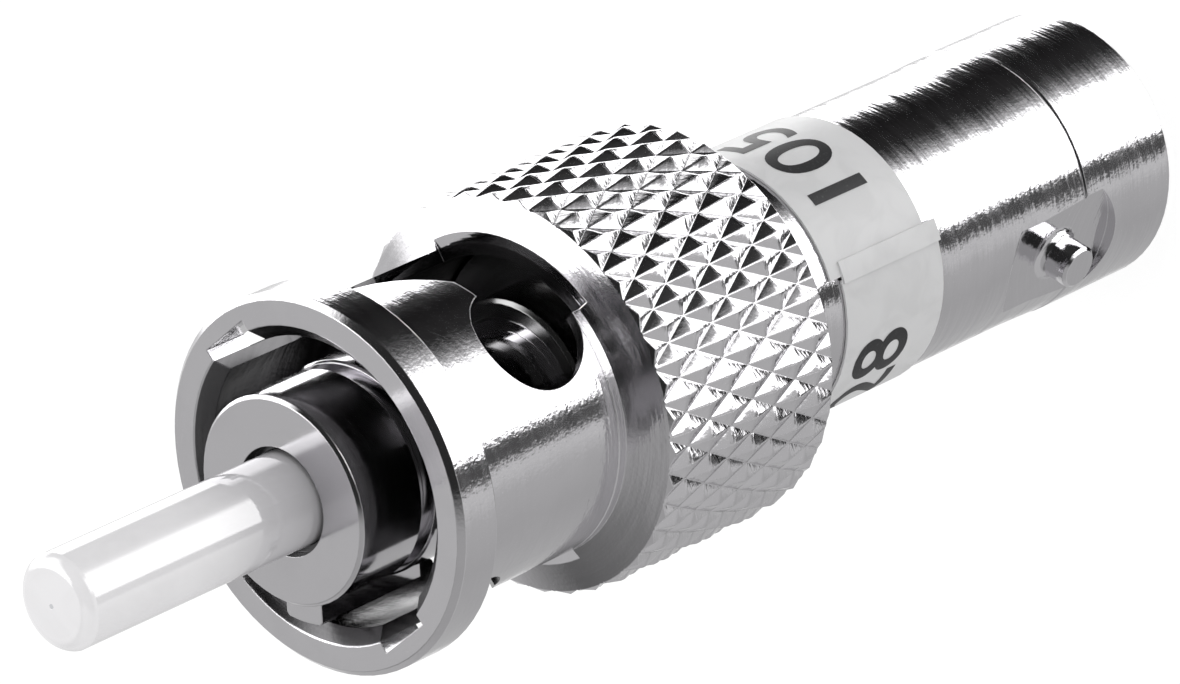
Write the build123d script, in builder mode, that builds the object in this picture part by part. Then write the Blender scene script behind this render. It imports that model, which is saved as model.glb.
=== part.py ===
from build123d import *
import math
import os

# Fibre attenuator with a bayonet plug at the top and a bayonet jack at the bottom, in millimetres.
# The axis is +Z, from the jack to the plug. The origin is the centre of the jack's mouth, on which it stands.

# Mating geometry of this connector family
mating_plane = 17.45            # height at which the two ferrules meet
overall_length = 38.0
ferrule_reach = 7.8             # ferrule tip ahead of the holder's face
running_gap = 0.07              # radial clearance of the nut on what guides it
glue_gap = 0.01                 # radial gap of glued and pressed cylinders
seat_gap = 0.03                 # axial gap between flat faces that only touch

# Ferrule and fibre
ferrule_r = 1.25
ferrule_chamfer = 0.35          # axial length of the rounded chamfer
ferrule_face_r = 0.82           # radius at which the chamfer meets the domed face
ferrule_dome = 0.04
fibre_r = 0.0625

# Ferrule holder
head_r = 2.73
head_length = 2.15
head_bevel = 0.08
groove_r = 2.35
groove_width = 0.4
collar_r = 2.8
collar_length = 1.55
neck_r = 1.7
neck_length = 4.3
spigot_r = 2.0
spigot_length = 3.2
glue_well_r = 1.42
glue_well_depth = 0.35
holder_edge = 0.06

# Key bar
key_angle = -120.5
key_width = 1.2
key_top_r = 3.4
key_seat_r = 2.2
key_setback = 0.55              # key front behind the holder's face
key_length = 3.5
key_edge = 0.08

# Alignment sleeve and its case
sleeve_wall = 0.35
sleeve_gap = 0.005
sleeve_slit = 0.5
sleeve_length = 9.6
sleeve_play = 0.05
sleeve_end_play = 0.1
case_lip_r = 1.3
case_lip = 1.2
case_flange_r = 2.45
case_flange = 1.3
case_funnel = 0.4

# Plug body
nose_r = 2.55
nose_length = 1.45
nose_edge = 0.1
flange_r = 3.71
flange_width = 0.5
body_neck_r = 2.8
body_tail_r = 2.45
tail_length = 3.8
tail_relief = 0.4
tail_relief_depth = 0.15

# Coupling nut
nut_rear = 15.45
nut_front = 29.05
nut_bore_r = 3.78
nut_mouth_r = 4.15
nut_barrel_r = 4.12
nut_flange_r = 4.95
nut_flange_width = 1.3
nut_front_bevel = 0.15
nut_back_bevel = 0.06
nut_lip = 0.85
nut_lip_edge = 0.1
shoulder_top = 22.2
shoulder_foot = 21.8
shoulder_r = 5.2
barrel_ring_height = 22.47
barrel_ring_width = 0.06
barrel_ring_depth = 0.025

# Diamond knurl
knurl_r = 5.35
knurl_depth = 0.16
knurl_blunt = 0.02              # height turned off the diamonds' sharp tips
knurl_starts = 36
knurl_helix = 30.0
knurl_turn = 5.6                # angle of a diamond's tip at the rear face
knurl_rear_bevel = 0.35

# Entry notches and cam slots
notch_angle = 99.5
notch_width = 1.7
notch_floor = 4.35
cam_rear = 22.1
cam_width = 2.36
cam_flat_end = 50.0             # where the slot's front edge starts to climb
cam_climb = 0.05                # climb of the front edge per degree
cam_wide_end = 90.0             # where the slot narrows to the lane that leads to the entry notch
cam_lane_width = 1.3
lock_angle = 18.0
lock_height = 24.0
lock_r = 1.55

# Coupling spring and thrust washer
spring_wire_r = 0.22
spring_r = 3.3
spring_turns = 4.2
washer_thickness = 0.3
washer_outer_gap = 0.1

# Jack housing
jack_r = 3.7
jack_land = 3.5                 # length of the guiding land at the mouth
jack_taper = 1.7
jack_rear_r = 3.63
land_step = 0.02
land_line_width = 0.12          # fine turned line at the end of the land
land_line_depth = 0.06
jack_rear = 15.4
jack_bore_r = 2.88
jack_bore_depth = 9.9
jack_mouth_bevel = 0.2
jack_edge = 0.12
web_bore_r = 2.1
keyway_angle = -137.0
keyway_width = 1.35
keyway_length = 9.3

# Bayonet lugs and their milled flats
lug_angle = -47.0
lug_height = 4.45
lug_r = 0.6
lug_tip = 4.28
lug_foot_r = 0.8
lug_foot = 0.2
lug_edge = 0.08
flat_reach = 3.4
flat_r = 2.15

# Label
label_bottom = 9.85
label_height = 3.8
label_film = 0.07
label_start = -12.0
label_lap = 7.0
label_skew = 0.38
label_turn = 358.5              # angle that the strip covers before its lapped end
label_ease = 0.5                # angle by which the edge cutters run past the strip's ends
lap_slip = 0.03                 # axial step between the strip's edges and its lapped end
lap_bond = 0.01                 # radial bond of the lapped end with the turn below it
film_hold = 2.0                 # how far the lapped end reaches back on the turn below it

holder_face = overall_length - ferrule_reach
head_back = holder_face - head_length
collar_top = head_back - groove_width
collar_back = collar_top - collar_length
neck_back = collar_back - neck_length
spigot_end = neck_back - spigot_length
nose_top = neck_back + 0.1
flange_top = nose_top - nose_length
flange_back = flange_top - flange_width
lip_top = nut_rear + nut_lip
washer_bottom = lip_top + seat_gap
washer_top = washer_bottom + washer_thickness
tail_end = jack_rear - tail_length
case_bottom = tail_end - case_flange
sleeve_r = ferrule_r + sleeve_gap + sleeve_wall
sleeve_bore_r = sleeve_r + sleeve_play
sleeve_bottom = case_bottom + case_lip + sleeve_end_play
sleeve_top = sleeve_bottom + sleeve_length
sleeve_stop = sleeve_top + sleeve_end_play

os.makedirs("parts", exist_ok=True)


def section(points):
    """Half section of a turned piece, closed through its (radius, height) points."""
    with BuildSketch(Plane.XZ) as half_section:
        with BuildLine():
            Polyline(*points, close=True)
        make_face()
    return half_section.sketch


# Ferrule, with the same rounded chamfer and domed face at both ends
with BuildPart() as ferrule:
    with BuildSketch(Plane.XZ):
        with BuildLine():
            middle = (mating_plane + overall_length) / 2
            top_edge = overall_length - ferrule_chamfer
            face_edge = overall_length - ferrule_dome
            bore_edge = Line((fibre_r, middle), (fibre_r, overall_length))
            dome = ThreePointArc(
                bore_edge @ 1,
                (ferrule_face_r * 0.6, overall_length - ferrule_dome * 0.36),
                (ferrule_face_r, face_edge),
            )
            chamfer_arc = ThreePointArc(
                dome @ 1,
                (ferrule_face_r * 0.34 + ferrule_r * 0.66, (face_edge + top_edge) / 2 + 0.07),
                (ferrule_r, top_edge),
            )
            Line(chamfer_arc @ 1, (ferrule_r, middle))
            Line((ferrule_r, middle), bore_edge @ 0)
        make_face()
    revolve(axis=Axis.Z)
    mirror(about=Plane.XY.offset(middle))
ferrule.part.label = "ferrule"
export_step(ferrule.part, "parts/ferrule.step")

# Fibre that fills the ferrule's bore
with BuildPart() as attenuating_fibre:
    with BuildSketch(Plane.XY.offset(mating_plane)):
        Circle(fibre_r)
    extrude(amount=overall_length - mating_plane)
attenuating_fibre.part.label = "attenuating_fibre"
export_step(attenuating_fibre.part, "parts/attenuating_fibre.step")

# Slot that the key bar sits in, cut in the holder's side
key_slot_plane = Plane(
    origin=(0, 0, holder_face - key_setback),
    x_dir=(math.cos(math.radians(key_angle)), math.sin(math.radians(key_angle)), 0),
    z_dir=(0, 0, -1),
)

# Ferrule holder: head, groove, collar, neck and the spigot that is pressed into the plug body
with BuildPart() as ferrule_holder:
    revolve(section([
        (ferrule_r + glue_gap, sleeve_stop),
        (ferrule_r + glue_gap, holder_face - glue_well_depth),
        (glue_well_r, holder_face - glue_well_depth),
        (glue_well_r, holder_face),
        (head_r - head_bevel, holder_face),
        (head_r, holder_face - head_bevel),
        (head_r, head_back + holder_edge),
        (head_r - holder_edge, head_back),
        (groove_r, head_back),
        (groove_r, collar_top),
        (collar_r - holder_edge, collar_top),
        (collar_r, collar_top - holder_edge),
        (collar_r, collar_back + holder_edge),
        (collar_r - holder_edge, collar_back),
        (neck_r, collar_back),
        (neck_r, neck_back),
        (spigot_r, neck_back),
        (spigot_r, spigot_end),
        (sleeve_bore_r, spigot_end),
        (sleeve_bore_r, sleeve_stop),
    ]), axis=Axis.Z)
    with BuildSketch(key_slot_plane):
        with Locations(((key_seat_r + key_top_r) / 2, 0)):
            Rectangle(key_top_r - key_seat_r, key_width)
    extrude(amount=key_length, mode=Mode.SUBTRACT)
ferrule_holder.part.label = "ferrule_holder"
export_step(ferrule_holder.part, "parts/ferrule_holder.step")

# Key bar, with a turned top and eased edges
with BuildPart() as alignment_key:
    with BuildSketch(key_slot_plane):
        with BuildLine():
            half = key_width / 2
            shoulder = math.sqrt(key_top_r ** 2 - half ** 2)
            Polyline((shoulder, -half), (key_seat_r, -half), (key_seat_r, half), (shoulder, half))
            ThreePointArc((shoulder, half), (key_top_r, 0), (shoulder, -half))
        make_face()
    extrude(amount=key_length)
    top_edges = alignment_key.edges().filter_by(Axis.Z).group_by(lambda e: (e @ 0.5).X ** 2 + (e @ 0.5).Y ** 2)[-1]
    chamfer(top_edges, key_edge)
alignment_key.part.label = "alignment_key"
export_step(alignment_key.part, "parts/alignment_key.step")

# Plug body: nose, spring flange, long neck that the nut slides on, and the tail screwed into the jack
with BuildPart() as plug_body:
    revolve(section([
        (spigot_r, tail_end),
        (spigot_r, nose_top - nose_edge),
        (spigot_r + nose_edge, nose_top),
        (nose_r - nose_edge, nose_top),
        (nose_r, nose_top - nose_edge),
        (nose_r, flange_top),
        (flange_r, flange_top),
        (flange_r, flange_back),
        (body_neck_r, flange_back),
        (body_neck_r, jack_rear),
        (body_tail_r - tail_relief_depth, jack_rear),
        (body_tail_r - tail_relief_depth, jack_rear - tail_relief),
        (body_tail_r, jack_rear - tail_relief),
        (body_tail_r, tail_end),
    ]), axis=Axis.Z)
plug_body.part.label = "plug_body"
export_step(plug_body.part, "parts/plug_body.step")

# Split sleeve
with BuildPart() as alignment_sleeve:
    with BuildSketch(Plane.XY.offset(sleeve_bottom)):
        Circle(sleeve_r)
        Circle(ferrule_r + sleeve_gap, mode=Mode.SUBTRACT)
        with Locations((sleeve_r, 0)):
            Rectangle(2 * sleeve_wall + sleeve_r - ferrule_r, sleeve_slit, mode=Mode.SUBTRACT)
    extrude(amount=sleeve_length)
alignment_sleeve.part.label = "alignment_sleeve"
export_step(alignment_sleeve.part, "parts/alignment_sleeve.step")

# Case of the sleeve, with the funnel that guides the other ferrule
with BuildPart() as sleeve_case:
    revolve(section([
        (case_lip_r + case_funnel, case_bottom),
        (case_lip_r, case_bottom + case_funnel),
        (case_lip_r, case_bottom + case_lip),
        (sleeve_bore_r, case_bottom + case_lip),
        (sleeve_bore_r, spigot_end - seat_gap),
        (spigot_r - glue_gap, spigot_end - seat_gap),
        (spigot_r - glue_gap, tail_end),
        (case_flange_r, tail_end),
        (case_flange_r, case_bottom),
    ]), axis=Axis.Z)
sleeve_case.part.label = "sleeve_case"
export_step(sleeve_case.part, "parts/sleeve_case.step")


def toothed_bar(sense):
    """Round bar with straight V grooves all round, twisted to the knurl's helix."""
    pitch = 360 / knurl_starts
    length = shoulder_top - nut_rear
    tips = [(knurl_r + knurl_blunt, knurl_turn + i * pitch) for i in range(knurl_starts)]
    roots = [(knurl_r - knurl_depth, knurl_turn + (i + 0.5) * pitch) for i in range(knurl_starts)]
    outline = [point for pair in zip(tips, roots) for point in pair]
    with BuildSketch(Plane.XY.offset(nut_rear)) as star:
        with BuildLine():
            Polyline(*[(r * math.cos(math.radians(a)), r * math.sin(math.radians(a))) for r, a in outline], close=True)
        make_face()
    twist = math.degrees(length * math.tan(math.radians(knurl_helix)) / knurl_r)
    return Solid.extrude_linear_with_rotation(star.sketch.face(), (0, 0, nut_rear), (0, 0, length), sense * twist)


right_hand_bar = toothed_bar(1)
left_hand_bar = toothed_bar(-1)

# Knurled band: what the two opposite twists leave, turned down at its shoulder and its rear edge
with BuildPart() as knurled_band:
    add(right_hand_bar)
    add(left_hand_bar, mode=Mode.INTERSECT)
    with BuildSketch(Plane.XZ):
        with BuildLine():
            Polyline(
                (0, nut_rear),
                (knurl_r - knurl_rear_bevel, nut_rear),
                (knurl_r, nut_rear + knurl_rear_bevel),
                (knurl_r, shoulder_foot - (knurl_r - shoulder_r)),
                (shoulder_r, shoulder_foot),
                (nut_barrel_r, shoulder_top),
                (0, shoulder_top),
                close=True,
            )
        make_face()
    revolve(axis=Axis.Z, mode=Mode.INTERSECT)

# Cam slot cutter: entry notch, climbing lane, wide level stretch and the round hole that the lug locks in
cut_inner = nut_bore_r - 0.5
cut_outer = nut_barrel_r + 0.5
cut_middle = (cut_inner + cut_outer) / 2
notch_rear = cam_rear + cam_width + cam_climb * (notch_angle - cam_flat_end) - cam_lane_width


def radial_plane(angle, height):
    """Plane square to the radius at an angle, with its x along the part's axis."""
    direction = (math.cos(math.radians(angle)), math.sin(math.radians(angle)), 0)
    return Plane(origin=(0, 0, height), x_dir=(0, 0, 1), z_dir=direction)


def climbing_cutter(start, end, width):
    """Stretch of the slot under its climbing front edge, made from +X on instead of the start angle."""
    middle_height = cam_rear + cam_width + cam_climb * (start - cam_flat_end) - width / 2
    with BuildPart() as stretch:
        with BuildLine(Plane.XY.offset(middle_height)):
            Helix(pitch=cam_climb * 360, height=cam_climb * (end - start), radius=cut_middle)
        with BuildSketch(Plane.XZ):
            with Locations((cut_middle, middle_height)):
                Rectangle(cut_outer - cut_inner, width)
        sweep(is_frenet=True)
    return stretch.part


with BuildPart() as cam_cutter:
    with BuildSketch(Plane.XZ.rotated((0, 0, lock_angle))):
        with Locations((cut_middle, cam_rear + cam_width / 2)):
            Rectangle(cut_outer - cut_inner, cam_width)
    revolve(axis=Axis.Z, revolution_arc=cam_wide_end - lock_angle)
    add(climbing_cutter(cam_flat_end, cam_wide_end, cam_width), rotation=(0, 0, cam_flat_end))
    add(climbing_cutter(cam_wide_end, notch_angle, cam_lane_width), rotation=(0, 0, cam_wide_end))
    with BuildSketch(radial_plane(lock_angle, lock_height).offset(cut_inner)):
        Circle(lock_r)
    extrude(amount=cut_outer - cut_inner)
    with BuildSketch(radial_plane(notch_angle, notch_rear).offset(cut_inner)):
        with Locations((notch_width / 2, 0)):
            Circle(notch_width / 2)
        with Locations(((notch_width / 2 + nut_front - notch_rear) / 2 + 0.5, 0)):
            Rectangle(nut_front - notch_rear - notch_width / 2 + 1, notch_width)
    extrude(amount=notch_floor - cut_inner)

# Coupling nut: flange, thin barrel, conical shoulder and knurled band in one turned piece
with BuildPart() as coupling_nut:
    add(knurled_band.part)
    revolve(section([
        (0, shoulder_foot - 1),
        (nut_barrel_r, shoulder_foot - 1),
        (nut_barrel_r, nut_front - nut_flange_width),
        (nut_flange_r - nut_back_bevel, nut_front - nut_flange_width),
        (nut_flange_r, nut_front - nut_flange_width + nut_back_bevel),
        (nut_flange_r, nut_front - nut_front_bevel),
        (nut_flange_r - nut_front_bevel, nut_front),
        (0, nut_front),
    ]), axis=Axis.Z)
    revolve(section([
        (0, nut_rear),
        (body_neck_r + running_gap + nut_lip_edge, nut_rear),
        (body_neck_r + running_gap, nut_rear + nut_lip_edge),
        (body_neck_r + running_gap, lip_top),
        (nut_bore_r, lip_top),
        (nut_bore_r, nut_front - (nut_mouth_r - nut_bore_r)),
        (nut_mouth_r, nut_front),
        (0, nut_front),
    ]), axis=Axis.Z, mode=Mode.SUBTRACT)
    with PolarLocations(0, 2):
        add(cam_cutter.part, mode=Mode.SUBTRACT)
    revolve(section([
        (nut_barrel_r - barrel_ring_depth, barrel_ring_height),
        (nut_barrel_r + barrel_ring_depth, barrel_ring_height - barrel_ring_width),
        (nut_barrel_r + barrel_ring_depth, barrel_ring_height + barrel_ring_width),
    ]), axis=Axis.Z, mode=Mode.SUBTRACT)
coupling_nut.part.label = "coupling_nut"
export_step(coupling_nut.part, "parts/coupling_nut.step")

# Thrust washer on the nut's lip
with BuildPart() as thrust_washer:
    with BuildSketch(Plane.XY.offset(washer_bottom)):
        Circle(nut_bore_r - washer_outer_gap)
        Circle(body_neck_r + running_gap, mode=Mode.SUBTRACT)
    extrude(amount=washer_thickness)
thrust_washer.part.label = "thrust_washer"
export_step(thrust_washer.part, "parts/thrust_washer.step")

# Coupling spring, wound between the washer and the flange and ground flat at both ends
spring_bottom = washer_top + seat_gap
spring_length = flange_back - seat_gap - spring_bottom
with BuildPart() as coupling_spring:
    with BuildLine(Plane.XY.offset(spring_bottom)) as coil:
        Helix(pitch=spring_length / spring_turns, height=spring_length, radius=spring_r)
    with BuildSketch(Plane(origin=coil.line @ 0, z_dir=coil.line % 0)):
        Circle(spring_wire_r)
    sweep(is_frenet=True)
    with BuildSketch(Plane.XY.offset(spring_bottom)):
        Circle(spring_r + 2 * spring_wire_r)
    extrude(amount=spring_length, mode=Mode.INTERSECT)
coupling_spring.part.label = "coupling_spring"
export_step(coupling_spring.part, "parts/coupling_spring.step")

# Jack housing: barrel with its guiding land, keyway, milled flats and lugs, screwed on the plug body's tail
lug_radius_plane = radial_plane(lug_angle, lug_height)
lug_section_plane = Plane(origin=lug_radius_plane.origin, x_dir=(0, 0, 1), z_dir=-lug_radius_plane.y_dir)
with BuildPart() as lug:
    with BuildSketch(lug_section_plane):
        with BuildLine():
            foot_top = flat_reach + lug_foot
            Polyline(
                (lug_r, foot_top),
                (lug_r, lug_tip - lug_edge),
                (lug_r - lug_edge, lug_tip),
                (0, lug_tip),
                (0, flat_reach - 0.2),
                (lug_foot_r, flat_reach - 0.2),
                (lug_foot_r, flat_reach),
            )
            RadiusArc((lug_foot_r, flat_reach), (lug_r, foot_top), lug_foot_r - lug_r + 0.05)
        make_face()
    revolve(axis=Axis(lug_radius_plane.origin, lug_radius_plane.z_dir))

with BuildPart() as jack_housing:
    revolve(section([
        (jack_bore_r + jack_mouth_bevel, 0),
        (jack_r - jack_edge, 0),
        (jack_r, jack_edge),
        (jack_r, jack_land),
        (jack_r - land_line_depth, jack_land + land_line_width / 2),
        (jack_r - land_step, jack_land + land_line_width),
        (jack_rear_r, jack_land + jack_taper),
        (jack_rear_r, jack_rear - jack_edge),
        (jack_rear_r - jack_edge, jack_rear),
        (body_tail_r, jack_rear),
        (body_tail_r, case_bottom),
        (web_bore_r, case_bottom),
        (web_bore_r, jack_bore_depth),
        (jack_bore_r, jack_bore_depth),
        (jack_bore_r, jack_mouth_bevel),
    ]), axis=Axis.Z)
    with PolarLocations(0, 2):
        with BuildSketch(lug_radius_plane.offset(flat_reach)):
            Circle(flat_r)
        extrude(amount=jack_r - flat_reach, mode=Mode.SUBTRACT)
        add(lug.part)
    with BuildSketch(radial_plane(keyway_angle, 0)):
        with Locations(((keyway_length - keyway_width / 2) / 2, 0)):
            Rectangle(keyway_length - keyway_width / 2, keyway_width)
        with Locations((keyway_length - keyway_width / 2, 0)):
            Circle(keyway_width / 2)
    extrude(amount=jack_r, mode=Mode.SUBTRACT)
jack_housing.part.label = "jack_housing"
export_step(jack_housing.part, "parts/jack_housing.step")

# Label: one film strip wound once round the barrel, a little askew, with its end lapped over its start
film_inner = jack_rear_r + glue_gap
film_outer = film_inner + label_film
film_middle = (film_inner + film_outer) / 2
film_foot = label_bottom - label_skew
film_trim = 2 * label_skew
with BuildPart() as edge_cutter:
    with BuildLine(Plane.XY.offset(film_foot)):
        Helix(
            pitch=label_skew,
            height=label_skew * (label_turn + 2 * label_ease) / 360,
            radius=film_middle,
            lefthand=True,
        )
    with BuildSketch(Plane.XZ):
        with Locations((film_middle, film_foot - film_trim / 2), (film_middle, film_foot + label_height + film_trim / 2)):
            Rectangle(4 * label_film, film_trim)
    sweep(is_frenet=True)

with BuildPart() as film:
    with BuildSketch(Plane.XZ.rotated((0, 0, -label_ease))):
        with Locations((film_middle, film_foot + (label_height + label_skew) / 2)):
            Rectangle(label_film, label_height + label_skew)
    revolve(axis=Axis.Z, revolution_arc=-label_turn)
    add(edge_cutter.part, mode=Mode.SUBTRACT)
    with BuildSketch(Plane.XZ.rotated((0, 0, -film_hold))):
        with Locations((film_outer + (label_film - lap_bond) / 2, film_foot + label_height / 2 - lap_slip)):
            Rectangle(label_film + lap_bond, label_height)
    revolve(axis=Axis.Z, revolution_arc=film_hold + label_lap)

with BuildPart() as label:
    add(film.part, rotation=(0, 0, label_start))
label.part.label = "label"
export_step(label.part, "parts/label.step")
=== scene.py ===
"""Looks of a fibre attenuator: nickelled bayonet plug and jack, ceramic ferrule and film label."""

import logging
import math
from dataclasses import dataclass
from enum import Enum

import bmesh
import bpy
from mathutils import Matrix, Vector


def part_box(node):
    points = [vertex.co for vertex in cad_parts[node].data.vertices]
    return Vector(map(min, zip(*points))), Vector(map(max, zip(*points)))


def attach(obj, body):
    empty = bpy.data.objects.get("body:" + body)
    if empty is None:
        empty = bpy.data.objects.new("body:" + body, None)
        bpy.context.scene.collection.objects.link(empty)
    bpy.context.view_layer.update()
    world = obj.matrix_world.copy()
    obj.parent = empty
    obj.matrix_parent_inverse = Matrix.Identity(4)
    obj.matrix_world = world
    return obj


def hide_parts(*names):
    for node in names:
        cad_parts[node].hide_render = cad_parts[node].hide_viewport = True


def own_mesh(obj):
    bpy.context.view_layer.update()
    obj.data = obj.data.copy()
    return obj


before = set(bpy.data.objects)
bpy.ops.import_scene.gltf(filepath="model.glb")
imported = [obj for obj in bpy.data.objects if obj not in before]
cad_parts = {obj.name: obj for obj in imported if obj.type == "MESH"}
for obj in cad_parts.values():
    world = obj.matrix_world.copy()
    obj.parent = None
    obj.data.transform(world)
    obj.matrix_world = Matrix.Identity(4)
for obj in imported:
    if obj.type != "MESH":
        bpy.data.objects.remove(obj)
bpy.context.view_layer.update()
MM = 0.001
LOG = logging.getLogger("attenuator")

Colour = tuple[float, float, float]
# What a socket can be fed with: another socket, or a plain number or colour.
Feed = bpy.types.NodeSocket | float | tuple[float, ...]
# Start and end of a range.
Range = tuple[float, float]
# Stops of one row of panels: azimuth in degrees, and brightness as a share of the panels' level.
Panels = tuple[tuple[float, float], ...]

# Layers of lathe rings, fine to coarse: rings per pitch, and height as a share of the depth.
RING_LAYERS = ((1.0, 0.5), (0.31, 1.1), (0.09, 2.0))
# How far the rings move along the axis for each metre away from it, so that they also cross faces.
RING_LEAN = 1.6


class Lay(Enum):
    """Way in which a piece was formed, which sets the run of its fine marks."""

    TURNED = "turned"
    DRAWN = "drawn"


class Given(Enum):
    """Kind of value that a node group puts out."""

    NUMBER = "NodeSocketFloat"
    VECTOR = "NodeSocketVector"


class Mixed(Enum):
    """Kind of value that a Mix node mixes, with the places of its two inputs and its result."""

    COLOUR = ("RGBA", 6, 7, 2)
    NUMBER = ("FLOAT", 2, 3, 0)


class GroupMaker:
    """Builds one shader node group with named inputs and outputs."""

    def __init__(self, name: str) -> None:
        """Start an empty group with an Amount input.

        Args:
            name: Name of the group.
        """
        self.tree = bpy.data.node_groups.new(name, "ShaderNodeTree")
        self.tree.interface.new_socket("Amount", in_out="INPUT", socket_type="NodeSocketFloat")
        self.source = self.tree.nodes.new("NodeGroupInput")
        self.result = self.tree.nodes.new("NodeGroupOutput")
        self.amount = self.source.outputs["Amount"]

    def number(self, name: str, value: float) -> bpy.types.NodeSocket:
        """Add a number input.

        Args:
            name: Name of the input.
            value: Value where nothing else is set.

        Returns:
            The socket inside the group.
        """
        item = self.tree.interface.new_socket(name, in_out="INPUT", socket_type="NodeSocketFloat")
        item.default_value = value
        return self.source.outputs[name]

    def give(self, name: str, socket: bpy.types.NodeSocket, kind: Given = Given.NUMBER) -> None:
        """Add a named output that the socket feeds."""
        self.tree.interface.new_socket(name, in_out="OUTPUT", socket_type=kind.value)
        self.tree.links.new(socket, self.result.inputs[name])


class Wiring:
    """Short calls for adding and joining shader nodes in one tree."""

    def __init__(self, tree: bpy.types.NodeTree) -> None:
        """Keep the tree of the material, world or group that the nodes go into."""
        self.tree = tree

    def node(self, kind: str, **settings: object) -> bpy.types.Node:
        """Add a node.

        Args:
            kind: Node type without the ShaderNode prefix.
            settings: Node properties by name.

        Returns:
            The node.
        """
        made = self.tree.nodes.new("ShaderNode" + kind)
        for name, value in settings.items():
            setattr(made, name, value)
        return made

    def join(self, socket: Feed | None, target: bpy.types.NodeSocket) -> None:
        """Link a socket, or set a plain value.

        Args:
            socket: Socket to link from, a value, or None to leave the target alone.
            target: Input that takes it.
        """
        if isinstance(socket, bpy.types.NodeSocket):
            self.tree.links.new(socket, target)
        elif socket is not None:
            target.default_value = socket

    def math(self, operation: str, *values: Feed, clamp: bool = False) -> bpy.types.NodeSocket:
        """Add a Math node.

        Args:
            operation: Name of the operation.
            values: Its inputs, sockets or numbers.
            clamp: Whether the result is kept from 0 to 1.

        Returns:
            Its result.
        """
        made = self.node("Math", operation=operation, use_clamp=clamp)
        for value, target in zip(values, made.inputs):
            self.join(value, target)
        return made.outputs[0]

    def plus_share(self, base: Feed, mask: Feed, extra: Feed) -> bpy.types.NodeSocket:
        """Add to a value the mask's share of an extra."""
        return self.math("ADD", base, self.math("MULTIPLY", mask, extra))

    def remap(self, value: Feed, low: Feed, high: Feed, to_low: Feed = 0.0,
              to_high: Feed = 1.0) -> bpy.types.NodeSocket:
        """Map a range of values smoothly to another.

        Args:
            value: Socket to map.
            low: Start of the range.
            high: End of the range.
            to_low: Result at the start.
            to_high: Result at the end.

        Returns:
            The mapped value.
        """
        made = self.node("MapRange", interpolation_type="SMOOTHSTEP")
        names = ("Value", "From Min", "From Max", "To Min", "To Max")
        for name, item in zip(names, (value, low, high, to_low, to_high)):
            self.join(item, made.inputs[name])
        return made.outputs["Result"]

    def blend(self, share: Feed, first: Feed, second: Feed,
              kind: Mixed = Mixed.COLOUR) -> bpy.types.NodeSocket:
        """Mix two colours or two numbers.

        Args:
            share: Share of the second.
            first: Socket or value at a share of 0.
            second: Socket or value at a share of 1.
            kind: Whether they are colours or numbers.

        Returns:
            The mixed colour or number.
        """
        data_type, first_place, second_place, result = kind.value
        made = self.node("Mix", data_type=data_type)
        for value, place in ((share, 0), (first, first_place), (second, second_place)):
            self.join(value, made.inputs[place])
        return made.outputs[result]

    def point(self) -> bpy.types.NodeSocket:
        """Place on the piece, in metres in the part's frame."""
        return self.node("TexCoord").outputs["Object"]

    def facing(self) -> bpy.types.NodeSocket:
        """Normal of the surface in the part's frame."""
        return self.node("TexCoord").outputs["Normal"]

    def split(self, vector: bpy.types.NodeSocket) -> tuple[bpy.types.NodeSocket, ...]:
        """Take a vector apart.

        Args:
            vector: The vector.

        Returns:
            Its x, y and z.
        """
        made = self.node("SeparateXYZ")
        self.join(vector, made.inputs[0])
        return tuple(made.outputs)

    def from_axis(self, x: bpy.types.NodeSocket, y: bpy.types.NodeSocket) -> bpy.types.NodeSocket:
        """Distance of a place from the part's axis."""
        return self.math("SQRT", self.math("ADD", self.math("MULTIPLY", x, x), self.math("MULTIPLY", y, y)))

    def noise(self, vector: bpy.types.NodeSocket, scale: Feed, detail: float,
              distortion: float = 0.0) -> bpy.types.NodeSocket:
        """Add a solid noise.

        Args:
            vector: Place in the noise.
            scale: Its scale.
            detail: Number of finer layers.
            distortion: How far it is swirled.

        Returns:
            The noise, about 0 to 1.
        """
        made = self.node("TexNoise", noise_dimensions="3D")
        names = ("Vector", "Scale", "Detail", "Distortion")
        for name, value in zip(names, (vector, scale, detail, distortion)):
            self.join(value, made.inputs[name])
        return made.outputs["Fac"]

    def relief(self, height: bpy.types.NodeSocket,
               normal: bpy.types.NodeSocket | None = None) -> bpy.types.NodeSocket:
        """Turn a height into a surface normal.

        Args:
            height: Height in metres.
            normal: Normal to start from, the surface's own where none is given.

        Returns:
            The normal.
        """
        bump = self.node("Bump")
        bump.inputs["Strength"].default_value = 1.0
        bump.inputs["Distance"].default_value = 1.0
        self.join(height, bump.inputs["Height"])
        self.join(normal, bump.inputs["Normal"])
        return bump.outputs[0]

    def place(self, group: bpy.types.NodeTree, **values: Feed) -> bpy.types.Node:
        """Place a node group.

        Args:
            group: The group.
            values: Its inputs by name, with _ for a space.

        Returns:
            The group node.
        """
        made = self.node("Group")
        made.node_tree = group
        for name, value in values.items():
            self.join(value, made.inputs[name.replace("_", " ")])
        return made


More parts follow.
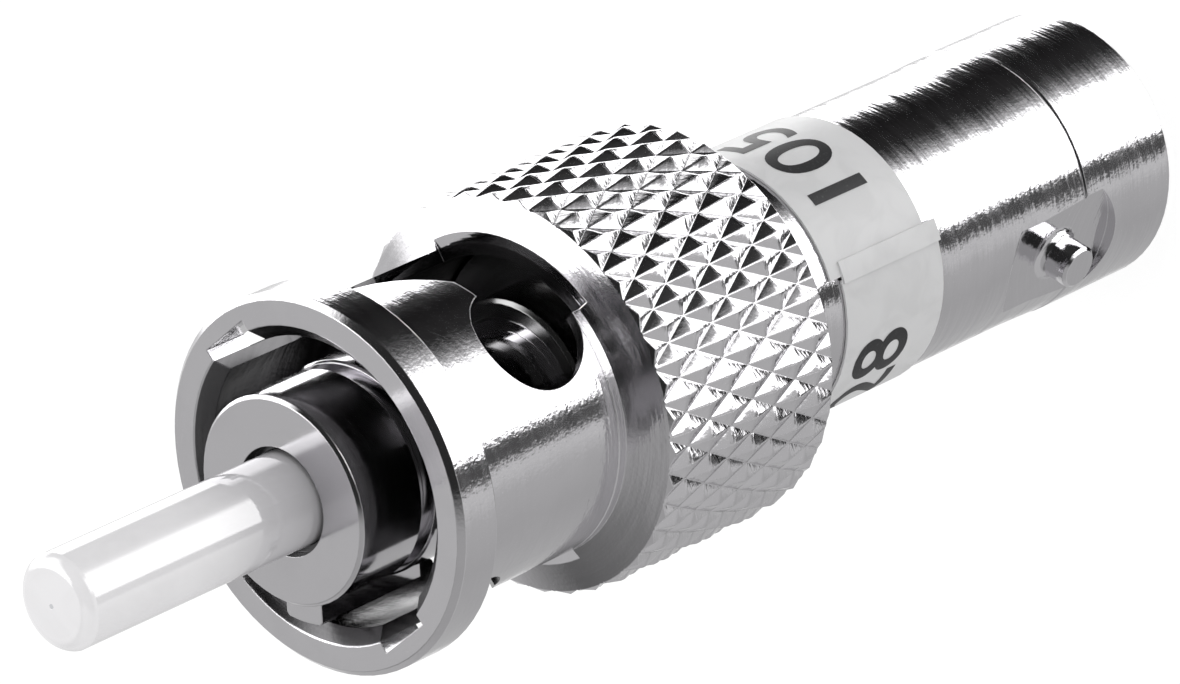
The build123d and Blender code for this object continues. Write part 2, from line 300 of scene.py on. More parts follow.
class Effects:
    """Node groups that the finishes place with their own values."""

    # Share of the normal that points along the axis, from round walls to faces.
    FACES: Range = (0.5, 0.85)
    # Share of the normal that points round the axis, from turned walls to milled ones.
    MILLED_WALLS: Range = (0.75, 0.92)
    # Height of the middle rings, from clean to streaked.
    STREAKS: Range = (0.35, 0.75)
    # Torn specks in the length of one ring.
    SPECKS_PER_RING: float = 0.9
    # Noise of the handling patches, from clean to smeared, with its finer layers and its swirl.
    SMEARS: Range = (0.42, 0.68)
    PATCH_DETAIL: float = 4.0
    PATCH_SWIRL: float = 1.2
    # Cosine between the rounded normal and the surface's own, from sound to rubbed.
    RUBBED: Range = (0.999, 0.9)
    # Distance from the axis as a share of the bore's, from inside the bore to outside it.
    BORE_RIM: Range = (0.995, 1.0)
    # Share of the normal that points outwards, from bore walls to outer ones.
    OUTWARD: Range = (0.25, 0.45)

    def __init__(self) -> None:
        """Build every group once."""
        self.tool_marks = self._tool_marks()
        self.handling = self._handling()
        self.worn_edge = self._worn_edge()
        self.grain = self._grain()
        # Mask for painted shade on bore and slot walls.
        self.dull_shaded_bore = self._dull_shaded_bore()
        self.rolled_knurl = self._rolled_knurl()
        # Painted shade on the ferrule near its root.
        self.root_shade = self._root_shade()

    def _tool_marks(self) -> bpy.types.NodeTree:
        """Rings that a lathe tool leaves round a piece, faint on its faces and on walls milled afterwards.

        Returns:
            Group with Height in metres, torn specks included, and a Streak mask.
        """
        group = GroupMaker("tool_marks")
        w = Wiring(group.tree)
        pitch = group.number("Pitch", 0.08 * MM)
        round_length = group.number("Round Length", 4 * MM)
        depth = group.number("Depth", 0.0004 * MM)
        tear = group.number("Tear", 0.0)
        faced = group.number("Faced Share", 0.3)
        milled = group.number("Milled Share", 0.1)
        point = w.point()
        x, y, z = w.split(point)
        normal_x, normal_y, normal_z = w.split(w.facing())
        radius = w.from_axis(x, y)
        across = w.math("SUBTRACT", w.math("MULTIPLY", x, normal_y), w.math("MULTIPLY", y, normal_x))
        sideways = w.math("ABSOLUTE", w.math("DIVIDE", across, radius))
        on_faces = w.remap(w.math("ABSOLUTE", normal_z), *self.FACES, 1.0, faced)
        on_walls = w.remap(sideways, *self.MILLED_WALLS, 1.0, milled)
        share_left = w.math("MULTIPLY", on_faces, on_walls)
        along = w.math("DIVIDE", w.plus_share(z, radius, RING_LEAN), pitch)
        layers = []
        for spread, share in RING_LAYERS:
            place = w.node("CombineXYZ")
            w.join(w.math("DIVIDE", x, round_length), place.inputs[0])
            w.join(w.math("DIVIDE", y, round_length), place.inputs[1])
            w.join(w.math("MULTIPLY", along, spread), place.inputs[2])
            layers.append(w.math("MULTIPLY", w.noise(place.outputs[0], 1.0, 1.0), share))
        fine, middle, coarse = layers
        rings = w.math("MULTIPLY", w.math("ADD", w.math("ADD", fine, middle), coarse), depth)
        specks = w.noise(point, w.math("DIVIDE", self.SPECKS_PER_RING, pitch), 2.0)
        total = w.plus_share(rings, specks, tear)
        group.give("Height", w.math("MULTIPLY", w.math("MULTIPLY", total, share_left), group.amount))
        group.give("Streak", w.remap(middle, *self.STREAKS))
        return group.tree

    def _handling(self) -> bpy.types.NodeTree:
        """Faint smears and dulled patches from handling.

        Returns:
            Group with a Mask from 0, clean, to 1, smeared.
        """
        group = GroupMaker("handling")
        w = Wiring(group.tree)
        size = group.number("Patch Size", 3 * MM)
        patches = w.noise(w.point(), w.math("DIVIDE", 1.0, size), self.PATCH_DETAIL, self.PATCH_SWIRL)
        mask = w.remap(patches, *self.SMEARS)
        group.give("Mask", w.math("MULTIPLY", mask, group.amount, clamp=True))
        return group.tree

    def _worn_edge(self) -> bpy.types.NodeTree:
        """Edges broken by deburring: a rounded normal and a mask of where the plating is rubbed.

        Returns:
            Group with Normal and Mask.
        """
        group = GroupMaker("worn_edge")
        w = Wiring(group.tree)
        radius = group.number("Radius", 0.04 * MM)
        bevel = w.node("Bevel", samples=6)
        w.join(radius, bevel.inputs["Radius"])
        alike = w.node("VectorMath", operation="DOT_PRODUCT")
        w.join(bevel.outputs[0], alike.inputs[0])
        w.join(w.node("NewGeometry").outputs["Normal"], alike.inputs[1])
        mask = w.remap(alike.outputs["Value"], *self.RUBBED)
        group.give("Normal", bevel.outputs[0], Given.VECTOR)
        group.give("Mask", w.math("MULTIPLY", mask, group.amount, clamp=True))
        return group.tree

    def _grain(self) -> bpy.types.NodeTree:
        """Fine even grain of sintered ceramic, film or ink.

        Returns:
            Group with Height in metres and a Mask.
        """
        group = GroupMaker("fine_grain")
        w = Wiring(group.tree)
        size = group.number("Grain Size", 0.06 * MM)
        depth = group.number("Depth", 0.0002 * MM)
        grains = w.noise(w.point(), w.math("DIVIDE", 1.0, size), 3.0)
        group.give("Height", w.math("MULTIPLY", w.math("MULTIPLY", grains, depth), group.amount))
        group.give("Mask", grains)
        return group.tree

    def _dull_shaded_bore(self) -> bpy.types.NodeTree:
        """Bore and slot walls of a turned piece, masked for painted shade where they lie in shadow.

        Returns:
            Group with a Mask that is 1 on walls nearer to the axis than Radius that don't face outwards.
        """
        group = GroupMaker("dull_shaded_bore")
        w = Wiring(group.tree)
        edge = group.number("Radius", 3.9 * MM)
        x, y, _ = w.split(w.point())
        normal_x, normal_y, _ = w.split(w.facing())
        radius = w.from_axis(x, y)
        facing = w.math("ADD", w.math("MULTIPLY", x, normal_x), w.math("MULTIPLY", y, normal_y))
        outward = w.math("DIVIDE", facing, radius)
        near = w.remap(w.math("DIVIDE", radius, edge), *self.BORE_RIM, 1.0, 0.0)
        wall = w.remap(outward, *self.OUTWARD, 1.0, 0.0)
        mask = w.math("MULTIPLY", near, wall)
        group.give("Mask", w.math("MULTIPLY", mask, group.amount, clamp=True))
        return group.tree

    def _rolled_knurl(self) -> bpy.types.NodeTree:
        """Swell of the knurl's diamonds, which a rolling tool rounds at their tips and ridges.

        Returns:
            Group with Height in metres, zero off the knurled band.
        """
        group = GroupMaker("rolled_knurl")
        w = Wiring(group.tree)
        starts = group.number("Starts", 36.0)
        tip = group.number("Tip Angle", math.radians(5.6))
        rear = group.number("Rear", 15.45 * MM)
        front = group.number("Front", 21.7 * MM)
        outer = group.number("Outer Radius", 5.35 * MM)
        helix = group.number("Helix", math.tan(math.radians(30)))
        depth = group.number("Depth", 0.18 * MM)
        blunt, easing, roundness, groove_floor = 0.11, 0.30, 1.5, 0.96
        x, y, z = w.split(w.point())
        turn = w.math("SUBTRACT", w.math("ARCTAN2", y, x), tip)
        lead = w.math("DIVIDE", w.math("MULTIPLY", w.math("SUBTRACT", z, rear), helix), outer)
        rises = []
        for side in ("ADD", "SUBTRACT"):
            phase = w.math("DIVIDE", w.math("MULTIPLY", w.math(side, turn, lead), starts), math.tau)
            rises.append(w.math("MULTIPLY", w.math("PINGPONG", phase, 0.5), 2.0))
        cut = w.math("MAXIMUM", w.math("MAXIMUM", *rises), blunt)
        eased = w.math("SMOOTH_MAX", *rises, easing)
        rolled = w.math("POWER", w.math("MINIMUM", eased, 1.0), roundness)
        swell = w.math("MULTIPLY", w.math("SUBTRACT", cut, rolled), w.math("MULTIPLY", depth, group.amount))
        reach = w.math("GREATER_THAN", w.from_axis(x, y), w.math("MULTIPLY", outer, groove_floor))
        band = w.math("MULTIPLY", reach, w.math("LESS_THAN", z, front))
        group.give("Height", w.math("MULTIPLY", swell, band))
        return group.tree

    def _root_shade(self) -> bpy.types.NodeTree:
        """Painted shade greying the ferrule toward its root in the holder.

        Returns:
            Group with a Mask from 0 at the tip to 1 at the root.
        """
        group = GroupMaker("root_shade")
        w = Wiring(group.tree)
        root = group.number("Root", 30.6 * MM)
        clear = group.number("Clear", 34.6 * MM)
        _, _, z = w.split(w.point())
        mask = w.remap(z, root, clear, 1.0, 0.0)
        group.give("Mask", w.math("MULTIPLY", mask, group.amount, clamp=True))
        return group.tree


def tone(colour: Colour, share: float = 1.0) -> tuple[float, ...]:
    """Opaque colour with each channel multiplied by a share."""
    return (*[min(1.0, channel * share) for channel in colour], 1.0)


def start_material(name: str) -> tuple[bpy.types.Material, Wiring, bpy.types.Node]:
    """Start a material.

    Args:
        name: Name of the material.

    Returns:
        The material, its wiring and its Principled shader.
    """
    made = bpy.data.materials.new(name)
    made.use_nodes = True
    return made, Wiring(made.node_tree), made.node_tree.nodes["Principled BSDF"]


@dataclass(frozen=True)
class MetalFinish:
    """Plated or plain metal with tool marks, broken edges, handling, and painted shade on its bore walls."""

    name: str
    colour: Colour
    roughness: float = 0.13
    mark_pitch: float = 0.08 * MM
    mark_depth: float = 0.0004 * MM
    mark_length: float = 4.0 * MM
    tear: float = 0.0
    edge: float = 0.04 * MM
    edge_share: float = 1.12
    smear: float = 0.5
    smear_share: float = 0.93
    smear_roughness: float = 0.05
    streak_roughness: float = 0.04
    anisotropy: float = 0.4
    lay: Lay = Lay.TURNED
    # Painted shade: bore walls nearer the axis than the bore radius keep only a small share of the colour,
    # and are made rougher.
    bore: float = 0.0
    bore_shade_share: float = 0.16
    bore_roughness: float = 0.12
    knurl_swell: float = 0.0

    def material(self, effects: Effects) -> bpy.types.Material:
        """Build the material.

        Args:
            effects: Shared node groups.

        Returns:
            The material.
        """
        made, w, shader = start_material(self.name)
        marks = w.place(effects.tool_marks, Amount=1.0, Pitch=self.mark_pitch, Depth=self.mark_depth,
                        Round_Length=self.mark_length, Tear=self.tear)
        smears = w.place(effects.handling, Amount=self.smear).outputs["Mask"]
        edges = w.place(effects.worn_edge, Amount=1.0, Radius=self.edge)
        colour = w.blend(edges.outputs["Mask"], tone(self.colour), tone(self.colour, self.edge_share))
        colour = w.blend(smears, colour, tone(self.colour, self.smear_share))
        rough = w.plus_share(self.roughness, smears, self.smear_roughness)
        rough = w.plus_share(rough, marks.outputs["Streak"], self.streak_roughness)
        # Painted shade darkens the bore and slot walls, which also get rougher.
        if self.bore > 0:
            inside = w.place(effects.dull_shaded_bore, Amount=1.0, Radius=self.bore).outputs["Mask"]
            colour = w.blend(inside, colour, tone(self.colour, self.bore_shade_share))
            rough = w.plus_share(rough, inside, self.bore_roughness)
        height = marks.outputs["Height"]
        if self.knurl_swell > 0:
            swell = w.place(effects.rolled_knurl, Amount=self.knurl_swell)
            height = w.math("ADD", height, swell.outputs["Height"])
        w.join(colour, shader.inputs["Base Color"])
        w.join(rough, shader.inputs["Roughness"])
        w.join(w.relief(height, edges.outputs["Normal"]), shader.inputs["Normal"])
        shader.inputs["Metallic"].default_value = 1.0
        shader.inputs["Anisotropic"].default_value = self.anisotropy
        if self.lay is Lay.TURNED and self.anisotropy > 0:
            tangent = w.node("Tangent", direction_type="RADIAL", axis="Z")
            w.join(tangent.outputs[0], shader.inputs["Tangent"])
        return made


@dataclass(frozen=True)
class CeramicFinish:
    """Polished zirconia: dense, white and glossy, with painted shade greying it toward its root."""

    name: str = "zirconia"
    colour: Colour = (0.965, 0.955, 0.97)
    root_shade_colour: Colour = (0.60, 0.59, 0.61)
    smear_share: float = 0.965
    roughness: float = 0.03
    smear_roughness: float = 0.03
    refraction: float = 2.16

    def material(self, effects: Effects) -> bpy.types.Material:
        """Build the material.

        Args:
            effects: Shared node groups.

        Returns:
            The material.
        """
        made, w, shader = start_material(self.name)
        grain = w.place(effects.grain, Amount=1.0, Grain_Size=0.03 * MM, Depth=0.00004 * MM)
        marks = w.place(effects.tool_marks, Amount=1.0, Pitch=0.05 * MM, Depth=0.00003 * MM,
                        Round_Length=6 * MM)
        smears = w.place(effects.handling, Amount=1.0, Patch_Size=2.0 * MM).outputs["Mask"]
        edges = w.place(effects.worn_edge, Amount=1.0, Radius=0.03 * MM)
        # Painted shade: the ferrule greys toward the holder.
        root = w.place(effects.root_shade, Amount=1.0).outputs["Mask"]
        colour = w.blend(smears, tone(self.colour), tone(self.colour, self.smear_share))
        w.join(w.blend(root, colour, tone(self.root_shade_colour)), shader.inputs["Base Color"])
        w.join(w.plus_share(self.roughness, smears, self.smear_roughness), shader.inputs["Roughness"])
        height = w.math("ADD", grain.outputs["Height"], marks.outputs["Height"])
        w.join(w.relief(height, edges.outputs["Normal"]), shader.inputs["Normal"])
        shader.inputs["IOR"].default_value = self.refraction
        return made


@dataclass(frozen=True)
class FilmFinish:
    """Semi-gloss white label film, a little see-through, with faint creases."""

    name: str = "label_film"
    colour: Colour = (0.76, 0.76, 0.765)
    smear_share: float = 0.93
    roughness: float = 0.32
    grain_roughness: float = 0.12
    alpha: float = 0.93
    refraction: float = 1.5

    def material(self, effects: Effects) -> bpy.types.Material:
        """Build the material.

        Args:
            effects: Shared node groups.

        Returns:
            The material.
        """
        made, w, shader = start_material(self.name)
        grain = w.place(effects.grain, Amount=1.0, Grain_Size=0.12 * MM, Depth=0.0012 * MM)
        waves = w.place(effects.grain, Amount=1.0, Grain_Size=0.9 * MM, Depth=0.006 * MM)
        smears = w.place(effects.handling, Amount=1.0, Patch_Size=1.4 * MM).outputs["Mask"]
        colour = w.blend(smears, tone(self.colour), tone(self.colour, self.smear_share))
        rough = w.plus_share(self.roughness, grain.outputs["Mask"], self.grain_roughness)
        w.join(colour, shader.inputs["Base Color"])
        w.join(rough, shader.inputs["Roughness"])
        height = w.math("ADD", grain.outputs["Height"], waves.outputs["Height"])
        w.join(w.relief(height), shader.inputs["Normal"])
        shader.inputs["Alpha"].default_value = self.alpha
        shader.inputs["IOR"].default_value = self.refraction
        return made


@dataclass(frozen=True)
class InkFinish:
    """Printed ink, nearly black, with small gaps where it didn't take."""

    name: str = "label_ink"
    colour: Colour = (0.012, 0.012, 0.014)
    gap_colour: Colour = (0.05, 0.05, 0.052)
    gap_range: Range = (0.55, 0.75)
    roughness: float = 0.35
    grain_roughness: float = 0.2

    def material(self, effects: Effects) -> bpy.types.Material:
        """Build the material.

        Args:
            effects: Shared node groups.

        Returns:
            The material.
        """
        made, w, shader = start_material(self.name)
        grain = w.place(effects.grain, Amount=1.0, Grain_Size=0.07 * MM, Depth=0.0006 * MM)
        gaps = w.remap(grain.outputs["Mask"], *self.gap_range)
        rough = w.plus_share(self.roughness, grain.outputs["Mask"], self.grain_roughness)
        w.join(w.blend(gaps, tone(self.colour), tone(self.gap_colour)), shader.inputs["Base Color"])
        w.join(rough, shader.inputs["Roughness"])
        w.join(w.relief(grain.outputs["Height"]), shader.inputs["Normal"])
        return made


@dataclass(frozen=True)
class SilicaFinish:
    """Polished end of the fibre."""

    name: str = "silica"
    colour: Colour = (0.66, 0.67, 0.69)
    roughness: float = 0.04
    grain_roughness: float = 0.05
    refraction: float = 1.46

    def material(self, effects: Effects) -> bpy.types.Material:
        """Build the material.

        Args:
            effects: Shared node groups.

        Returns:
            The material.
        """
        made, w, shader = start_material(self.name)
        grain = w.place(effects.grain, Amount=1.0, Grain_Size=0.02 * MM, Depth=0.00003 * MM)
        shader.inputs["Base Color"].default_value = tone(self.colour)
        rough = w.plus_share(self.roughness, grain.outputs["Mask"], self.grain_roughness)
        w.join(rough, shader.inputs["Roughness"])
        w.join(w.relief(grain.outputs["Height"]), shader.inputs["Normal"])
        shader.inputs["IOR"].default_value = self.refraction
        return made


def dress(node: str, material: bpy.types.Material) -> None:
    """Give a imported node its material.

    Args:
        node: Name of the node.
        material: The material.
    """
    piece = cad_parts[node]
    piece.data.materials.clear()
    piece.data.materials.append(material)
    LOG.info("%s wears %s", node, material.name)


def new_piece(name: str, points: list[Vector], faces: list[tuple[int, ...]], material: bpy.types.Material,
              smooth: bool = True) -> bpy.types.Object:
    """Make a mesh object.

    Args:
        name: Name of the piece.
        points: Its vertices, in metres.
        faces: Its faces, by vertex number.
        material: Its material.
        smooth: Whether its faces are shaded smooth.

    Returns:
        The object.
    """
    mesh = bpy.data.meshes.new(name)
    mesh.from_pydata([tuple(p) for p in points], [], faces)
    mesh.validate()
    for polygon in mesh.polygons:
        polygon.use_smooth = smooth
    mesh.materials.append(material)
    piece = bpy.data.objects.new(name, mesh)
    bpy.context.scene.collection.objects.link(piece)
    return piece


@dataclass
class PlugEnd:
    """Ferrule, its holder with the key bar, and the plug body."""

    # bore paints shade on the walls of the glue well round the ferrule.
    nickel: MetalFinish = MetalFinish(
        "nickel_holder", (0.70, 0.69, 0.71), roughness=0.10, mark_depth=0.0008 * MM, bore=1.43 * MM,
    )
    # Painted shade: the plug body sits inside the nut, so its nickel is given a dark colour.
    body: MetalFinish = MetalFinish("nickel_body", (0.30, 0.30, 0.30), roughness=0.16, mark_depth=0.002 * MM)
    ceramic: CeramicFinish = CeramicFinish()
    glass: SilicaFinish = SilicaFinish()

    def build(self, effects: Effects) -> None:
        """Dress the plug end's nodes.

        Args:
            effects: Shared node groups.
        """
        holder = self.nickel.material(effects)
        dress("ferrule_holder", holder)
        dress("alignment_key", holder)
        dress("plug_body", self.body.material(effects))
        dress("ferrule", self.ceramic.material(effects))
        dress("attenuating_fibre", self.glass.material(effects))


@dataclass
class CouplingNut:
    """Bayonet nut with its washer and spring."""

    # bore paints shade inside the nut's bore and slots.
    nickel: MetalFinish = MetalFinish(
        "nickel_nut", (0.72, 0.71, 0.73), roughness=0.08, mark_pitch=0.1 * MM, mark_depth=0.008 * MM,
        mark_length=2.0 * MM, tear=0.005 * MM, bore=4.13 * MM, knurl_swell=0.8,
    )
    steel: MetalFinish = MetalFinish(
        "spring_steel", (0.52, 0.52, 0.53), roughness=0.22, anisotropy=0.0, lay=Lay.DRAWN,
    )
    wire_radius: float = 0.215 * MM
    coil_radius: float = 3.3 * MM
    turns: float = 4.2
    end_turns: float = 0.8
    ground_share: float = 0.45
    steps: int = 44
    sides: int = 14

    def build(self, effects: Effects) -> None:
        """Dress the nut and washer, and wind the spring.

        Args:
            effects: Shared node groups.
        """
        dress("coupling_nut", self.nickel.material(effects))
        steel = self.steel.material(effects)
        dress("thrust_washer", steel)
        self.wind_spring(steel)

    def wind_spring(self, steel: bpy.types.Material) -> None:
        """Wind the coil spring with closed and ground end turns.

        Args:
            steel: Its material.
        """
        low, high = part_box("coupling_spring")
        bottom, top = low.z, high.z
        count = int((self.turns + 2 * self.end_turns) * self.steps)
        inset = self.ground_share * self.wire_radius
        points: list[Vector] = []
        for i in range(count + 1):
            turned = i / self.steps - self.end_turns
            share = min(1.0, max(0.0, turned / self.turns))
            angle = math.tau * turned
            out = Vector((math.cos(angle), math.sin(angle), 0))
            height = bottom + inset + share * (top - bottom - 2 * inset)
            centre = out * self.coil_radius + Vector((0, 0, height))
            for j in range(self.sides):
                a = math.tau * j / self.sides
                rise = Vector((0, 0, math.sin(a) * self.wire_radius))
                point = centre + out * (math.cos(a) * self.wire_radius) + rise
                point.z = min(top, max(bottom, point.z))
                points.append(point)
        faces: list[tuple[int, ...]] = []
        for i in range(count):
            for j in range(self.sides):
                a, b = i * self.sides + j, i * self.sides + (j + 1) % self.sides
                faces.append((a, b, b + self.sides, a + self.sides))
        faces.append(tuple(range(self.sides - 1, -1, -1)))
        faces.append(tuple(count * self.sides + j for j in range(self.sides)))
        spring = new_piece("coil_spring", points, faces, steel)
        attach(spring, "plug")
        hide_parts("coupling_spring")
        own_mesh(spring)
        LOG.info("coil_spring wound, %d points", len(points))


@dataclass
class JackEnd:
    """Jack housing with its split sleeve and sleeve case."""

    # bore paints shade on the walls inside the jack.
    nickel: MetalFinish = MetalFinish(
        "nickel_jack", (0.72, 0.71, 0.73), roughness=0.07, mark_pitch=0.1 * MM, mark_depth=0.018 * MM,
        tear=0.004 * MM, bore=3.0 * MM,
    )
    inner: MetalFinish = MetalFinish("nickel_case", (0.66, 0.65, 0.67), roughness=0.16)
    bronze: MetalFinish = MetalFinish(
        "sleeve_bronze", (0.62, 0.42, 0.24), roughness=0.24, mark_depth=0.0003 * MM,
    )

    def build(self, effects: Effects) -> None:
        """Dress the jack end's nodes.

        Args:
            effects: Shared node groups.
        """
        dress("jack_housing", self.nickel.material(effects))
        dress("sleeve_case", self.inner.material(effects))
        dress("alignment_sleeve", self.bronze.material(effects))


@dataclass(frozen=True)
class PrintedNumber:
    """One plain number on the film."""

    digits: str
    degrees: float
    height: float
    size: float = 2.9 * MM


@dataclass
class Label:
    """Film strip round the jack, with plain numbers printed on it."""

    film: FilmFinish = FilmFinish()
    ink: InkFinish = InkFinish()
    radius: float = 3.714 * MM
    chord: float = 0.14 * MM
    most_cuts: int = 5
    curve_steps: int = 8
    stroke_gain: float = 0.012
    numbers: tuple[PrintedNumber, ...] = (
        PrintedNumber("105", 44.0, 11.75 * MM),
        PrintedNumber("28", -64.0, 11.65 * MM),
        PrintedNumber("046", 160.0, 11.75 * MM),
    )

    def build(self, effects: Effects) -> None:
        """Dress the film and print the numbers.

        Args:
            effects: Shared node groups.
        """
        dress("label", self.film.material(effects))
        ink = self.ink.material(effects)
        for number in self.numbers:
            self.print_number(number, ink)

    def flat_digits(self, number: PrintedNumber) -> bmesh.types.BMesh:
        """Draw a number's digits flat, in triangles small enough to bend.

        Args:
            number: The number.

        Returns:
            The digits, centred, which the caller frees.
        """
        line = bpy.data.curves.new("number_" + number.digits, "FONT")
        line.body = number.digits
        line.size = number.size
        line.align_x = "CENTER"
        line.align_y = "CENTER"
        line.offset = number.size * self.stroke_gain
        line.resolution_u = self.curve_steps
        holder = bpy.data.objects.new("number_" + number.digits, line)
        bpy.context.scene.collection.objects.link(holder)
        depsgraph = bpy.context.evaluated_depsgraph_get()
        flat = bpy.data.meshes.new_from_object(holder.evaluated_get(depsgraph))
        bpy.data.objects.remove(holder)
        cut = bmesh.new()
        cut.from_mesh(flat)
        bmesh.ops.triangulate(cut, faces=cut.faces[:])
        for _ in range(self.most_cuts):
            long = [edge for edge in cut.edges if edge.calc_length() > self.chord]
            if not long:
                break
            bmesh.ops.subdivide_edges(cut, edges=long, cuts=1)
            bmesh.ops.triangulate(cut, faces=cut.faces[:])
        cut.verts.index_update()
        return cut

    def print_number(self, number: PrintedNumber, ink: bpy.types.Material) -> None:
        """Print one number round the film.

        Args:
            number: The number.
            ink: Material of the print.
        """
        cut = self.flat_digits(number)
        angle = math.radians(number.degrees)
        points = []
        for vertex in cut.verts:
            turn = angle + vertex.co.x / self.radius
            out = (math.cos(turn) * self.radius, math.sin(turn) * self.radius)
            points.append(Vector((*out, number.height + vertex.co.y)))
        faces = [tuple(v.index for v in face.verts) for face in cut.faces]
        cut.free()
        piece = new_piece("print_" + number.digits, points, faces, ink)
        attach(piece, "plug")
        LOG.info("print_%s on the film", number.digits)


@dataclass
class Studio:
    """Camera, floor and the even light with its dark and bright panels.

    Only polished surfaces see the panels. They stand in four rows, from straight down to straight up, and
    row_rises gives the heights, from -1 to 1, between which each row gives way to the next.
    """

    camera_place: tuple[float, float, float] = (148.9128 * MM, 0.0, 155.1602 * MM)
    right: tuple[float, float, float] = (0.613859, -0.415323, -0.671330)
    up: tuple[float, float, float] = (0.282006, 0.909671, -0.304911)
    back: tuple[float, float, float] = (0.737326, -0.002147, 0.675533)
    lens: float = 243.294
    sensor: float = 36.0
    floor_reach: float = 1.5
    floor_colour: Colour = (0.86, 0.86, 0.86)
    floor_seen_colour: Colour = (0.30, 0.30, 0.30)
    floor_glow: float = 0.80
    level: float = 0.92
    level_tilt: float = 0.14
    panel_level: float = 2.8
    panel_dark: float = 0.01
    overhead: Range = (0.952, 0.980)
    underfoot: Range = (-0.955, -0.905)
    row_rises: tuple[Range, ...] = ((-0.875, -0.835), (-0.62, -0.38), (0.0, 0.35))
    steep_panels: Panels = (
        (-180, 0.30), (-100, 0.17), (-68, 0.24), (-60, 0.03), (-42, 0.03), (-35, 1.0), (150, 1.0),
        (160, 0.26), (180, 0.30),
    )
    low_panels: Panels = (
        (-180, 0.30), (-168, 0.28), (-158, 0.18), (-90, 0.16), (-60, 0.18), (-44, 0.24), (-42, 0.24),
        (-37, 0.03), (-24, 0.03), (-20, 1.0), (30, 1.0), (40, 0.22), (50, 0.05), (60, 0.01), (88, 0.004),
        (107, 0.02), (115, 1.0), (150, 1.0), (158, 0.26), (180, 0.30),
    )
    level_panels: Panels = (
        (-180, 0.30), (-168, 0.28), (-158, 0.18), (-60, 0.20), (-14, 0.20), (-8, 1.0), (18, 1.0),
        (28, 0.20), (45, 0.02), (100, 0.004), (118, 0.10), (130, 1.0), (150, 1.0), (158, 0.26), (180, 0.30),
    )
    high_panels: Panels = (
        (-180, 0.20), (-166, 0.18), (-152, 0.045), (-136, 0.085), (-126, 0.14), (-110, 0.15), (-60, 0.15),
        (-38, 0.01), (82, 0.01), (100, 1.0), (150, 1.0), (158, 0.20), (180, 0.20),
    )

    def build(self) -> None:
        """Set up the camera, floor and world."""
        self.place_camera()
        self.lay_floor()
        self.light()

    def place_camera(self) -> None:
        """Put the camera at the photograph's viewing angle."""
        data = bpy.data.cameras.new("camera")
        data.lens = self.lens
        data.sensor_width = self.sensor
        data.sensor_fit = "HORIZONTAL"
        data.clip_start = 0.005
        data.clip_end = 10.0
        camera = bpy.data.objects.new("camera", data)
        turn = Matrix((self.right, self.up, self.back)).transposed().to_4x4()
        camera.matrix_world = Matrix.Translation(self.camera_place) @ turn
        bpy.context.scene.collection.objects.link(camera)
        bpy.context.scene.camera = camera

    def lay_floor(self) -> None:
        """Lay the white floor that the part stands on."""
        made, w, shader = start_material("floor")
        made.node_tree.nodes.remove(shader)
        path = w.node("LightPath").outputs
        seen = w.math("MAXIMUM", path["Is Camera Ray"], path["Is Glossy Ray"])
        seen = w.math("MAXIMUM", seen, path["Is Transmission Ray"])
        matt = w.node("BsdfDiffuse")
        w.join(w.blend(seen, tone(self.floor_colour), tone(self.floor_seen_colour)), matt.inputs["Color"])
        glow = w.node("Emission")
        glow.inputs["Color"].default_value = (1, 1, 1, 1)
        w.join(w.math("MULTIPLY", seen, self.floor_glow), glow.inputs["Strength"])
        both = w.node("AddShader")
        w.join(matt.outputs[0], both.inputs[0])
        w.join(glow.outputs[0], both.inputs[1])
        w.join(both.outputs[0], made.node_tree.nodes["Material Output"].inputs["Surface"])
        corners = [Vector((x, y, 0)) * self.floor_reach for x, y in ((-1, -1), (1, -1), (1, 1), (-1, 1))]
        floor = new_piece("floor", corners, [(0, 1, 2, 3)], made, smooth=False)
        floor.visible_glossy = False

    def panel_row(self, w: Wiring, around: bpy.types.NodeSocket, panels: Panels) -> bpy.types.NodeSocket:
        """Stand one row of panels round the part.

        Args:
            w: Wiring of the world.
            around: Azimuth as a share of a turn, 0.5 ahead.
            panels: Stops of the row.

        Returns:
            Brightness of the row.
        """
        ramp = w.node("ValToRGB")
        w.join(around, ramp.inputs[0])
        stops = ramp.color_ramp.elements
        while len(stops) < len(panels):
            stops.new(0.5)
        for stop, (angle, value) in zip(stops, panels):
            stop.position = angle / 360 + 0.5
            stop.color = (value, value, value, 1)
        return ramp.outputs[0]

    def light(self) -> None:
        """Light the scene with one soft surround; polished metal sees its bright and dark panels."""
        world = bpy.data.worlds.new("studio")
        bpy.context.scene.world = world
        world.use_nodes = True
        world.cycles.sampling_method = "NONE"
        world.node_tree.nodes.clear()
        w = Wiring(world.node_tree)
        x, y, z = w.split(w.node("TexCoord").outputs["Generated"])
        around = w.math("ADD", w.math("DIVIDE", w.math("ARCTAN2", y, x), math.tau), 0.5)
        seen = self.panel_row(w, around, self.steep_panels)
        higher = (self.low_panels, self.level_panels, self.high_panels)
        for (start, end), panels in zip(self.row_rises, higher):
            seen = w.blend(w.remap(z, start, end), seen, self.panel_row(w, around, panels), Mixed.NUMBER)
        overhead = w.remap(z, *self.overhead, 1.0, self.panel_dark)
        underfoot = w.remap(z, *self.underfoot, self.panel_dark, 1.0)
        lit = w.math("MULTIPLY", overhead, underfoot)
        panel = w.math("MULTIPLY", w.math("MULTIPLY", seen, lit), self.panel_level)
        even = w.plus_share(self.level, y, self.level_tilt)
        path = w.node("LightPath").outputs
        light = w.blend(path["Is Glossy Ray"], even, panel, Mixed.NUMBER)
        through = w.math("MAXIMUM", path["Is Camera Ray"], path["Is Transmission Ray"])
        background = w.node("Background")
        background.inputs["Color"].default_value = (1, 1, 1, 1)
        w.join(w.blend(through, light, 1.0, Mixed.NUMBER), background.inputs["Strength"])
        w.join(background.outputs[0], w.node("OutputWorld").inputs["Surface"])


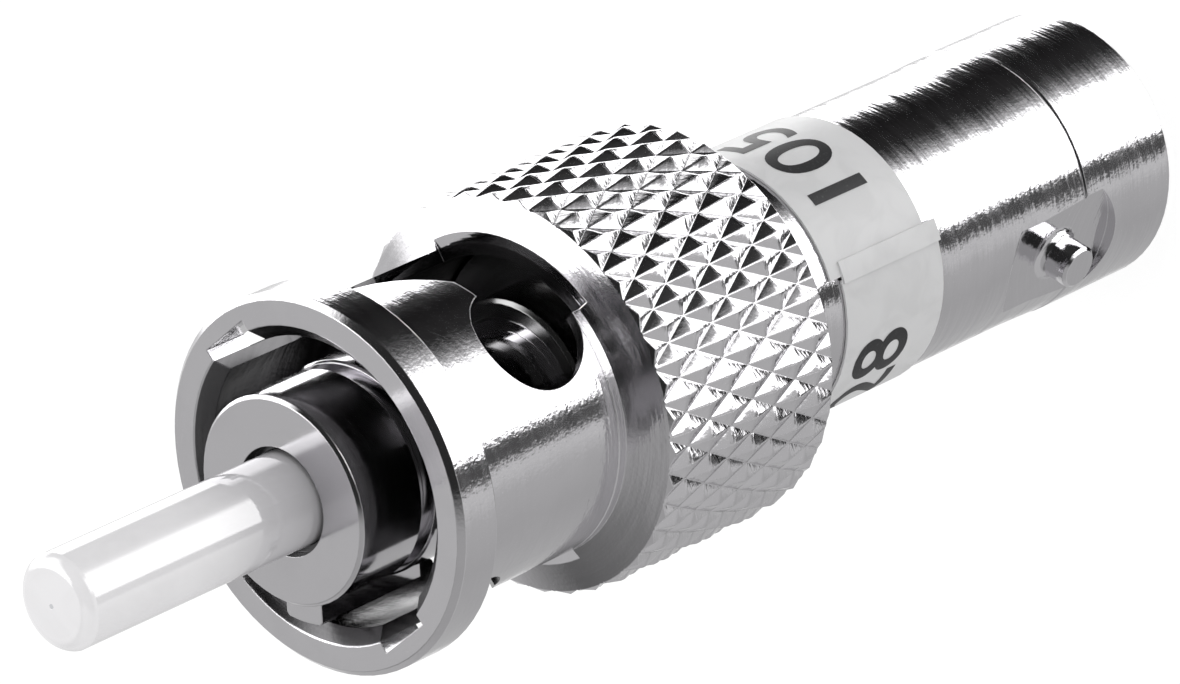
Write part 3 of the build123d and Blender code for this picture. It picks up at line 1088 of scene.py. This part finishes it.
def main() -> None:
    """Build the studio and every sub-assembly."""
    logging.basicConfig(level=logging.INFO, format="%(message)s")
    bpy.context.scene.view_settings.view_transform = "Standard"
    effects = Effects()
    Studio().build()
    for part in (PlugEnd(), CouplingNut(), JackEnd(), Label()):
        part.build(effects)
        LOG.info("%s done", type(part).__name__)


if __name__ == "__main__":
    main()
